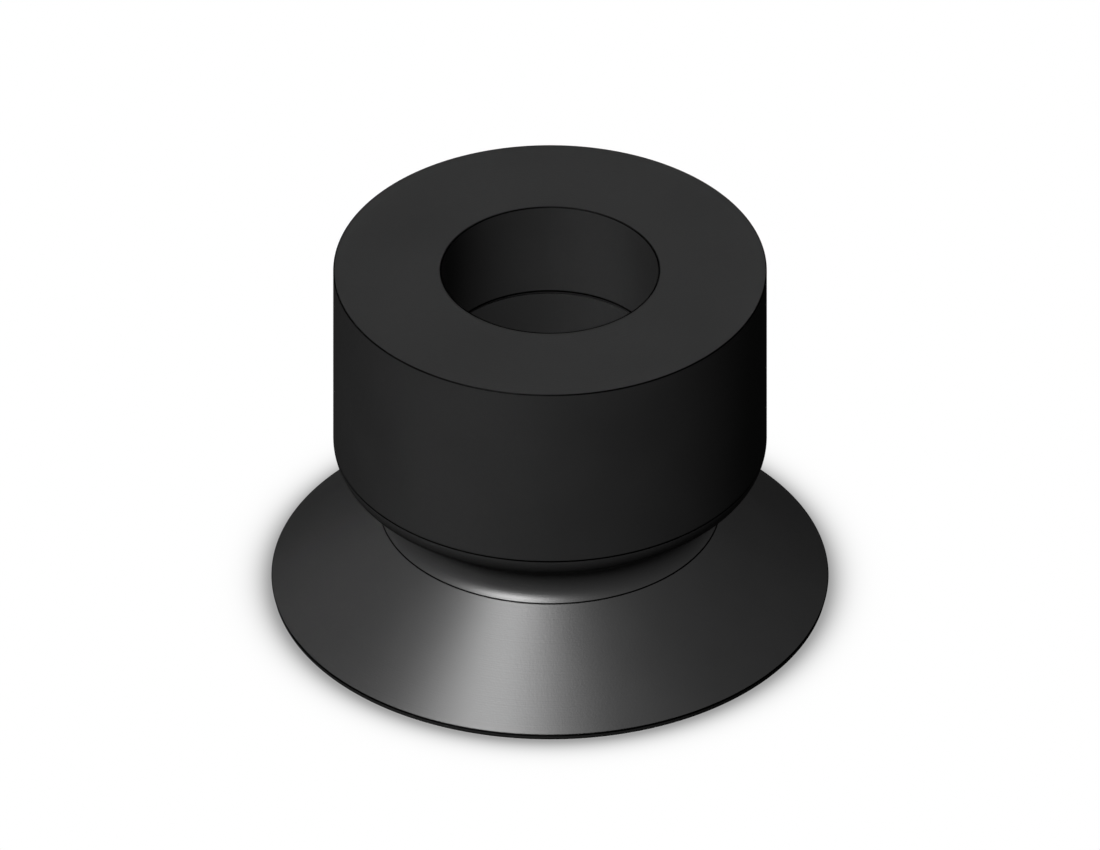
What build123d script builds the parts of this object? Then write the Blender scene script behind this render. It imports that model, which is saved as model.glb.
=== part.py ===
from build123d import *
from math import cos, radians, sin, tan
import os

# A flat vacuum pad, moulded in one piece from black rubber. Sizes are in millimetres.
# It stands on its sealing edge: the origin is the middle of that circle, and +Z is the axis.
# Slopes are in degrees from horizontal.

# Body: the thick sleeve that a fitting is pushed into
body_diameter = 14.0
body_height = 7.0
shoulder_radius = 0.85

# Groove: the V that leaves a flexible neck between the body and the lip
neck_diameter = 10.45
groove_radius = 0.72
flank_slope = 38.0

# Lip: a cone that thins from its root to its sealing edge
lip_diameter = 18.0
lip_slope = 38.0
lip_root_thickness = 0.6
lip_edge_height = 0.21
lip_edge_draft = 13.5
cup_roof_radius = 0.8

# Socket: a bore that grips the fitting's neck, over a wider chamber for its head
bore_diameter = 7.0
bore_depth = 3.5
bore_edge_radius = 0.2
chamber_diameter = 10.3
chamber_height = 3.0

# Suction passage: joins the chamber to the cup under the lip
passage_diameter = 4.0
passage_mouth_radius = 0.3

# The two faces of the groove meet at its apex, and the round between them cuts that off at the neck.
groove_half_angle = radians((flank_slope + lip_slope) / 2)
groove_tilt = radians((flank_slope - lip_slope) / 2)
apex_inset = groove_radius * (cos(groove_tilt) / sin(groove_half_angle) - 1)
apex_radius = neck_diameter / 2 - apex_inset

# Heights follow from the sealing edge upwards: lip cone, groove, body.
lip_tan = tan(radians(lip_slope))
flank_tan = tan(radians(flank_slope))
apex_height = lip_edge_height + (lip_diameter / 2 - apex_radius) * lip_tan
body_foot_height = apex_height + (body_diameter / 2 - apex_radius) * flank_tan
top_height = body_foot_height + body_height


def outside_corners():
    """Outside of the half section, from the top face's rim down to the sealing edge."""
    sealing_radius = lip_diameter / 2 - lip_edge_height * tan(radians(lip_edge_draft))
    return [
        (body_diameter / 2, top_height, 0),
        (body_diameter / 2, body_foot_height, shoulder_radius),
        (apex_radius, apex_height, groove_radius),
        (lip_diameter / 2, lip_edge_height, 0),
        (sealing_radius, 0, 0),
    ]


def cup_corners():
    """Roof of the suction cup, a lip's thickness under the circle where the lip leaves the groove."""
    slope = radians(lip_slope)
    root_run = groove_radius / tan(groove_half_angle)
    root_radius = apex_radius + root_run * cos(slope)
    root_height = apex_height - root_run * sin(slope)
    roof_radius = root_radius - lip_root_thickness * sin(slope)
    roof_height = root_height - lip_root_thickness * cos(slope)
    return [
        (roof_radius, roof_height, cup_roof_radius),
        (passage_diameter / 2, roof_height, passage_mouth_radius),
    ]


def socket_corners():
    """Chamber and bore, from the top of the suction passage up to the top face."""
    ledge_height = top_height - bore_depth
    floor_height = ledge_height - chamber_height
    return [
        (passage_diameter / 2, floor_height, 0),
        (chamber_diameter / 2, floor_height, 0),
        (chamber_diameter / 2, ledge_height, 0),
        (bore_diameter / 2, ledge_height, bore_edge_radius),
        (bore_diameter / 2, top_height, 0),
    ]


def vacuum_pad():
    """The whole pad: its half section turned once round the axis."""
    corners = outside_corners() + cup_corners() + socket_corners()
    points = [(across, up) for across, up, rounding in corners]
    roundings = [rounding for across, up, rounding in corners]
    with BuildPart() as pad:
        with BuildSketch(Plane.XZ):
            with BuildLine():
                FilletPolyline(*points, radius=roundings, close=True)
            make_face()
        revolve(axis=Axis.Z)
    return pad.part


os.makedirs("parts", exist_ok=True)
export_step(vacuum_pad(), "parts/vacuum_pad.step")
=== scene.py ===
import bpy
from math import asin, ceil, cos, pi, radians, sin, tan
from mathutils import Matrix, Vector


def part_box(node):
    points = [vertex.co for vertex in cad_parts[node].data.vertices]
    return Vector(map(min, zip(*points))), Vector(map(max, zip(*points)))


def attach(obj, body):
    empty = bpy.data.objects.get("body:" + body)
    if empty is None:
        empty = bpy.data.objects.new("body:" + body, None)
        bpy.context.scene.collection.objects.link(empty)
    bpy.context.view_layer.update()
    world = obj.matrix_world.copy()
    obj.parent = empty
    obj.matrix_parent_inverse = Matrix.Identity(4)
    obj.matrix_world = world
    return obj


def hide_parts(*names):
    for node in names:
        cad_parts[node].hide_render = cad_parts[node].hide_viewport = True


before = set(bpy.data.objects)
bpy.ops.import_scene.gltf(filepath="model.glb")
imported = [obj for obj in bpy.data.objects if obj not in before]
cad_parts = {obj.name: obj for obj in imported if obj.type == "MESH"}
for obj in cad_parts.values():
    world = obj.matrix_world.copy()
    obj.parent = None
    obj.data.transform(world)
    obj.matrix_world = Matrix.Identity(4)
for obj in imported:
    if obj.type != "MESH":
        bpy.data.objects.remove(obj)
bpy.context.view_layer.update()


# Camera
# A parallel view from in front and above at the isometric angle, which foreshortens all three
# directions alike. The pad's axis stands upright in the middle, with half its height at the centre.
mm = 0.001
view_elevation = asin(tan(radians(30)))
frame_width = 35.506 * mm
camera_distance = 200 * mm

pad_low, pad_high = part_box("vacuum_pad")
aim = Vector((0, 0, pad_high.z / 2))
backwards = Vector((0, -cos(view_elevation), sin(view_elevation)))
camera_data = bpy.data.cameras.new("camera")
camera_data.type = "ORTHO"
camera_data.ortho_scale = frame_width
camera = bpy.data.objects.new("camera", camera_data)
camera.location = aim + backwards * camera_distance
camera.rotation_euler = (-backwards).to_track_quat("-Z", "Y").to_euler()
bpy.context.scene.collection.objects.link(camera)
bpy.context.scene.camera = camera
bpy.context.scene.view_settings.view_transform = "Standard"


# Vacuum pad
# One moulding of black rubber: a thick sleeve with an undercut socket, a grooved neck and a thinning
# lip. The mould's plates and core are turned, so the pad is one outline taken round its axis.
pad_top = pad_high.z
lip_radius = min(pad_high.x, pad_high.y, -pad_low.x, -pad_low.y)
body_radius = 7.0 * mm
body_height = 7.0 * mm
shoulder_round = 0.85 * mm
neck_radius = 5.225 * mm
groove_round = 0.72 * mm
slope = radians(38)
lip_edge_height = 0.21 * mm
lip_edge_draft = radians(13.5)
lip_root_thickness = 0.6 * mm
cup_roof_round = 0.8 * mm
passage_radius = 2.0 * mm
passage_mouth_round = 0.3 * mm
bore_radius = 3.5 * mm
bore_depth = 3.5 * mm
bore_foot_round = 0.2 * mm
chamber_radius = 5.15 * mm
chamber_height = 3.0 * mm
crisp_round = 0.02 * mm
moulded_round = 0.1 * mm

body_foot = pad_top - body_height
apex_radius = neck_radius - groove_round * (1 / sin(slope) - 1)
apex_height = body_foot - (body_radius - apex_radius) * tan(slope)
root_run = groove_round / tan(slope)
roof_radius = apex_radius + root_run * cos(slope) - lip_root_thickness * sin(slope)
roof_height = apex_height - root_run * sin(slope) - lip_root_thickness * cos(slope)
sealing_radius = lip_radius - lip_edge_height * tan(lip_edge_draft)
ledge_height = pad_top - bore_depth
chamber_floor = ledge_height - chamber_height

# The outline's corners, from the chamber's foot up the socket, down the outside and up into the cup.
# Each has its round, and the hairlines that the mould's plates and core leave on it, with painted
# shade: a hairline's place from the start of the round, 0, to its end, 1, and its reach in microns
# before and after that.
micron = 0.001 * mm
outline_corners = [
    (chamber_radius, chamber_floor, moulded_round, []),
    (chamber_radius, ledge_height, moulded_round, []),
    (bore_radius, ledge_height, bore_foot_round, [(0, 34, 34), (1, 34, 34)]),
    (bore_radius, pad_top, crisp_round, [(1, 34, 42)]),
    (body_radius, pad_top, crisp_round, [(0.5, 34, 34)]),
    (body_radius, body_foot, shoulder_round, [(0, 30, 30), (1, 30, 30)]),
    (apex_radius, apex_height, groove_round, [(0, 23, 23), (1, 23, 23)]),
    (lip_radius, lip_edge_height, crisp_round, [(0.5, 30, 45)]),
    (sealing_radius, 0, crisp_round, [(0.5, 45, 20)]),
    (roof_radius, roof_height, cup_roof_round, []),
    (passage_radius, roof_height, passage_mouth_round, []),
    (passage_radius, chamber_floor, moulded_round, []),
]
arc_step = radians(6)
run_step = 0.25 * mm
fewest_steps = 4
segments = 288


def arc_rings(before, corner, after, rounding):
    """Points and outward normals round one corner, from the end of one run to the start of the next."""
    back = (before - corner).normalized()
    ahead = (after - corner).normalized()
    half_angle = back.angle(ahead) / 2
    centre = corner + (back + ahead).normalized() * rounding / sin(half_angle)
    tangent_length = rounding / tan(half_angle)
    first = (corner + back * tangent_length - centre).normalized()
    last = (corner + ahead * tangent_length - centre).normalized()
    bulges = 1 if back.x * ahead.y - back.y * ahead.x > 0 else -1
    steps = 2 * ceil((pi - 2 * half_angle) / arc_step / 2)
    spokes = [first.slerp(last, step / steps) for step in range(steps + 1)]
    return [(centre + spoke * rounding, spoke * bulges) for spoke in spokes]


def run_rings(start, end):
    """Points and outward normals along a straight run, without its two ends."""
    along = end - start
    normal = Vector((-along.y, along.x)).normalized()
    steps = max(fewest_steps, ceil(along.length / run_step))
    return [(start + along * step / steps, normal) for step in range(1, steps)]


def outline_rings(corners):
    """The whole outline as (point, normal) rings, and its hairlines as (ring, reach, reach)."""
    points = [Vector((across, up)) for across, up, rounding, lines in corners]
    arcs = []
    for index, (across, up, rounding, lines) in enumerate(corners):
        before = points[index - 1]
        after = points[(index + 1) % len(points)]
        arcs.append(arc_rings(before, points[index], after, rounding))
    rings = []
    hairlines = []
    for arc, next_arc, (across, up, rounding, lines) in zip(arcs, arcs[1:] + arcs[:1], corners):
        for place, reach_before, reach_after in lines:
            ring = len(rings) + round(place * (len(arc) - 1))
            hairlines.append((ring, reach_before * micron, reach_after * micron))
        rings += arc + run_rings(arc[-1][0], next_arc[0][0])
    return rings, hairlines


def hairline_distances(hairlines, travelled):
    """How far each ring is from the nearest hairline, counted in that line's own reach."""
    distances = []
    for along in travelled:
        nearest = []
        for ring, reach_before, reach_after in hairlines:
            past = along - travelled[ring]
            nearest.append(past / reach_after if past > 0 else -past / reach_before)
        distances.append(min(nearest))
    return distances


def turned_mesh(name, rings):
    """A closed mesh of the rings taken round the z axis, with exact normals."""
    directions = [2 * pi * step / segments for step in range(segments)]
    points = []
    normals = []
    for point, normal in rings:
        for angle in directions:
            points.append((point.x * cos(angle), point.x * sin(angle), point.y))
            normals.append((normal.x * cos(angle), normal.x * sin(angle), normal.y))
    faces = []
    for ring in range(len(rings)):
        upper = ring * segments
        lower = (ring + 1) % len(rings) * segments
        for step in range(segments):
            turn = (step + 1) % segments
            faces.append((upper + step, lower + step, lower + turn, upper + turn))
    mesh = bpy.data.meshes.new(name)
    mesh.from_pydata(points, [], faces)
    mesh.shade_smooth()
    mesh.normals_split_custom_set_from_vertices(normals)
    return mesh


def write_attribute(mesh, name, ring_values):
    """One number for each ring, kept on all of its points."""
    attribute = mesh.attributes.new(name, "FLOAT", "POINT")
    for ring, value in enumerate(ring_values):
        for step in range(segments):
            attribute.data[ring * segments + step].value = value


rings, hairlines = outline_rings(outline_corners)
travelled = [0]
for (start, start_normal), (end, end_normal) in zip(rings, rings[1:]):
    travelled.append(travelled[-1] + (end - start).length)
pad_mesh = turned_mesh("pad", rings)
write_attribute(pad_mesh, "along_outline", travelled)
write_attribute(pad_mesh, "from_hairline", hairline_distances(hairlines, travelled))
pad = bpy.data.objects.new("pad", pad_mesh)
bpy.context.scene.collection.objects.link(pad)


def add_node(tree, kind, inputs, **settings):
    """A shader node with its settings, and its inputs set to a value or linked to a socket."""
    node = tree.nodes.new(kind)
    for name, value in settings.items():
        setattr(node, name, value)
    for name, value in inputs.items():
        if isinstance(value, bpy.types.NodeSocket):
            tree.links.new(value, node.inputs[name])
        else:
            node.inputs[name].default_value = value
    return node


def black_rubber():
    """Carbon-black rubber with the satin skin that a turned, lightly blasted mould leaves."""
    cloud_size = 3.0 * mm
    clouds_from = 0.3
    clouds_to = 0.7
    dark_cloud = (0.0118, 0.0118, 0.0119, 1)
    light_cloud = (0.0134, 0.0134, 0.0135, 1)
    smooth_skin = 0.365
    rough_skin = 0.385
    grain_size = 0.07 * mm
    grain_depth = 0.002 * mm
    mark_spacing = 0.05 * mm
    mark_height = 0.5
    line_core = 0.8
    line_fade = 1.2
    painted_line_shade = 0.95
    line_depth = 2.4
    material = bpy.data.materials.new("black_rubber")
    material.use_nodes = True
    tree = material.node_tree
    tree.nodes.clear()
    place = add_node(tree, "ShaderNodeTexCoord", {}).outputs["Object"]
    along = add_node(tree, "ShaderNodeAttribute", {}, attribute_name="along_outline").outputs["Fac"]
    from_line = add_node(tree, "ShaderNodeAttribute", {}, attribute_name="from_hairline").outputs["Fac"]
    grain = add_node(
        tree, "ShaderNodeTexNoise", {"Vector": place, "Scale": 1 / grain_size, "Detail": 2.0}
    ).outputs["Fac"]
    marks = add_node(
        tree,
        "ShaderNodeTexNoise",
        {"W": along, "Scale": 1 / mark_spacing, "Detail": 1.0},
        noise_dimensions="1D",
    ).outputs["Fac"]
    clouds = add_node(
        tree, "ShaderNodeTexNoise", {"Vector": place, "Scale": 1 / cloud_size, "Detail": 4.0}
    ).outputs["Fac"]
    # The hairline mask: painted shade in the colour and the sheen, and a fine groove in the bump.
    line = add_node(
        tree,
        "ShaderNodeMapRange",
        {
            "Value": from_line,
            "From Min": line_core,
            "From Max": line_fade,
            "To Min": painted_line_shade,
            "To Max": 0.0,
        },
    ).outputs["Result"]

    # A hairline is a fine crevice with painted shade: its colour is painted black, and as metal without
    # colour it loses its sheen too.
    colour = add_node(tree, "ShaderNodeValToRGB", {"Fac": clouds})
    colour.color_ramp.elements[0].position = clouds_from
    colour.color_ramp.elements[0].color = dark_cloud
    colour.color_ramp.elements[1].position = clouds_to
    colour.color_ramp.elements[1].color = light_cloud
    unshaded = add_node(
        tree, "ShaderNodeMath", {0: 1.0, 1: line}, operation="SUBTRACT"
    ).outputs["Value"]
    colour_with_painted_lines = add_node(
        tree,
        "ShaderNodeVectorMath",
        {0: colour.outputs["Color"], "Scale": unshaded},
        operation="SCALE",
    ).outputs["Vector"]
    skin = add_node(
        tree,
        "ShaderNodeMapRange",
        {
            "Value": clouds,
            "From Min": clouds_from,
            "From Max": clouds_to,
            "To Min": smooth_skin,
            "To Max": rough_skin,
        },
    ).outputs["Result"]
    fine = add_node(
        tree, "ShaderNodeMath", {0: marks, 1: mark_height, 2: grain}, operation="MULTIPLY_ADD"
    ).outputs["Value"]
    height = add_node(
        tree, "ShaderNodeMath", {0: line, 1: -line_depth, 2: fine}, operation="MULTIPLY_ADD"
    ).outputs["Value"]
    bump = add_node(
        tree, "ShaderNodeBump", {"Height": height, "Distance": grain_depth, "Strength": 1.0}
    )
    rubber = add_node(
        tree,
        "ShaderNodeBsdfPrincipled",
        {
            "Base Color": colour_with_painted_lines,
            "Roughness": skin,
            "Metallic": line,
            "Normal": bump.outputs["Normal"],
        },
    )
    add_node(tree, "ShaderNodeOutputMaterial", {"Surface": rubber.outputs["BSDF"]})
    return material


pad.data.materials.append(black_rubber())
# Its own bounce light is left out, which in so dark a rubber would only fill the groove and the socket.
pad.visible_diffuse = False
pad.visible_glossy = False
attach(pad, "root")
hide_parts("vacuum_pad")


# Floor
# A sheet of white paper, lit so evenly that it shows no edge, with the pad's soft contact shadow
# painted on it.
# It has a hole under the cup, where light comes up from below, and from below it can be seen through.
floor_radius = 1000 * mm
hole_radius = sealing_radius - crisp_round
shadow_reach = 0.545 * mm
shadow_depth = 0.64
shadow_power = 1.4
room_light = 0.0067


def white_paper():
    """White to the camera with a painted soft contact shadow, dim to the pad, and clear from its
    underside.
    """
    material = bpy.data.materials.new("white_paper")
    material.use_nodes = True
    tree = material.node_tree
    tree.nodes.clear()
    place = add_node(tree, "ShaderNodeTexCoord", {}).outputs["Object"]
    # Painted contact shadow: the paper darkens near the lip's edge, by its distance from the axis.
    from_axis = add_node(
        tree, "ShaderNodeVectorMath", {0: place}, operation="LENGTH"
    ).outputs["Value"]
    from_lip = add_node(
        tree,
        "ShaderNodeMapRange",
        {
            "Value": from_axis,
            "From Min": lip_radius,
            "From Max": lip_radius + shadow_reach,
            "To Min": 0.0,
            "To Max": 1.0,
        },
        clamp=False,
    ).outputs["Result"]
    outside = add_node(
        tree, "ShaderNodeMath", {0: from_lip, 1: 0.0}, operation="MAXIMUM"
    ).outputs["Value"]
    bent = add_node(
        tree, "ShaderNodeMath", {0: outside, 1: shadow_power}, operation="POWER"
    ).outputs["Value"]
    reversed_sign = add_node(
        tree, "ShaderNodeMath", {0: bent, 1: -1.0}, operation="MULTIPLY"
    ).outputs["Value"]
    fading = add_node(
        tree, "ShaderNodeMath", {0: reversed_sign}, operation="EXPONENT"
    ).outputs["Value"]
    shade = add_node(
        tree, "ShaderNodeMath", {0: fading, 1: -shadow_depth, 2: 1.0}, operation="MULTIPLY_ADD"
    ).outputs["Value"]
    paper = add_node(tree, "ShaderNodeEmission", {"Color": shade, "Strength": 1.0})
    card = add_node(
        tree, "ShaderNodeEmission", {"Color": (room_light, room_light, room_light, 1)}
    )
    clear = add_node(tree, "ShaderNodeBsdfTransparent", {})
    light_path = add_node(tree, "ShaderNodeLightPath", {})
    side = add_node(tree, "ShaderNodeNewGeometry", {})
    seen = add_node(
        tree,
        "ShaderNodeMixShader",
        {
            "Fac": light_path.outputs["Is Camera Ray"],
            1: card.outputs["Emission"],
            2: paper.outputs["Emission"],
        },
    )
    sided = add_node(
        tree,
        "ShaderNodeMixShader",
        {"Fac": side.outputs["Backfacing"], 1: seen.outputs["Shader"], 2: clear.outputs["BSDF"]},
    )
    add_node(tree, "ShaderNodeOutputMaterial", {"Surface": sided.outputs["Shader"]})
    return material


floor_points = []
for radius in (hole_radius, floor_radius):
    for step in range(segments):
        angle = 2 * pi * step / segments
        floor_points.append((radius * cos(angle), radius * sin(angle), 0))
floor_faces = []
for step in range(segments):
    turn = (step + 1) % segments
    floor_faces.append((step, segments + step, segments + turn, turn))
floor_mesh = bpy.data.meshes.new("floor")
floor_mesh.from_pydata(floor_points, [], floor_faces)
floor_mesh.materials.append(white_paper())
floor = bpy.data.objects.new("floor", floor_mesh)
bpy.context.scene.collection.objects.link(floor)


# Lights
# A softbox high on the left lays the broad streak down the lip, and a smaller one lifts the flat top.
# Two faint cards fill the walls and the lip. A card behind and a lamp below light the hidden sides.

# Each light's azimuth from the camera's side, its elevation and its width across the sky, in
# degrees, then its strength, and whether it casts a shadow and shows as sheen.
lights = [
    ("softbox", -27.8, 47.2, 30.5, 5.93, False, True),
    ("top_box", -48.0, 72.5, 27.0, 1.52, False, True),
    ("front_card", -45.0, -3.0, 90.0, 0.17, False, True),
    ("side_card", -142.0, 42.0, 53.0, 0.22, False, True),
    ("back_card", 180.0, -30.0, 60.0, 3.0, False, False),
    ("under_lamp", 0.0, -90.0, 1.0, 4.0, True, True),
]
for name, azimuth, elevation, width, strength, casts_shadow, glossy in lights:
    turn = radians(azimuth)
    climb = radians(elevation)
    towards = Vector((sin(turn) * cos(climb), -cos(turn) * cos(climb), sin(climb)))
    light_data = bpy.data.lights.new(name, "SUN")
    light_data.energy = strength
    light_data.angle = radians(width)
    light_data.use_shadow = casts_shadow
    # Rays sent from the rubber would lose a shadowless light behind the pad itself.
    light_data.cycles.use_multiple_importance_sampling = False
    light = bpy.data.objects.new(name, light_data)
    light.location = towards * camera_distance
    light.rotation_euler = towards.to_track_quat("Z", "Y").to_euler()
    light.visible_glossy = glossy
    bpy.context.scene.collection.objects.link(light)


# Room
# White and far away all round. The camera sees it as white as the paper, and it lights the pad
# only dimly, because the lights above do that.
surroundings = bpy.data.worlds.new("surroundings")
surroundings.use_nodes = True
sky = surroundings.node_tree
sky.nodes.clear()
backdrop = add_node(sky, "ShaderNodeBackground", {"Color": (1, 1, 1, 1), "Strength": 1.0})
dim_room = add_node(
    sky, "ShaderNodeBackground", {"Color": (room_light, room_light, room_light, 1), "Strength": 1.0}
)
sky_path = add_node(sky, "ShaderNodeLightPath", {})
sky_seen = add_node(
    sky,
    "ShaderNodeMixShader",
    {
        "Fac": sky_path.outputs["Is Camera Ray"],
        1: dim_room.outputs["Background"],
        2: backdrop.outputs["Background"],
    },
)
add_node(sky, "ShaderNodeOutputWorld", {"Surface": sky_seen.outputs["Shader"]})
bpy.context.scene.world = surroundings
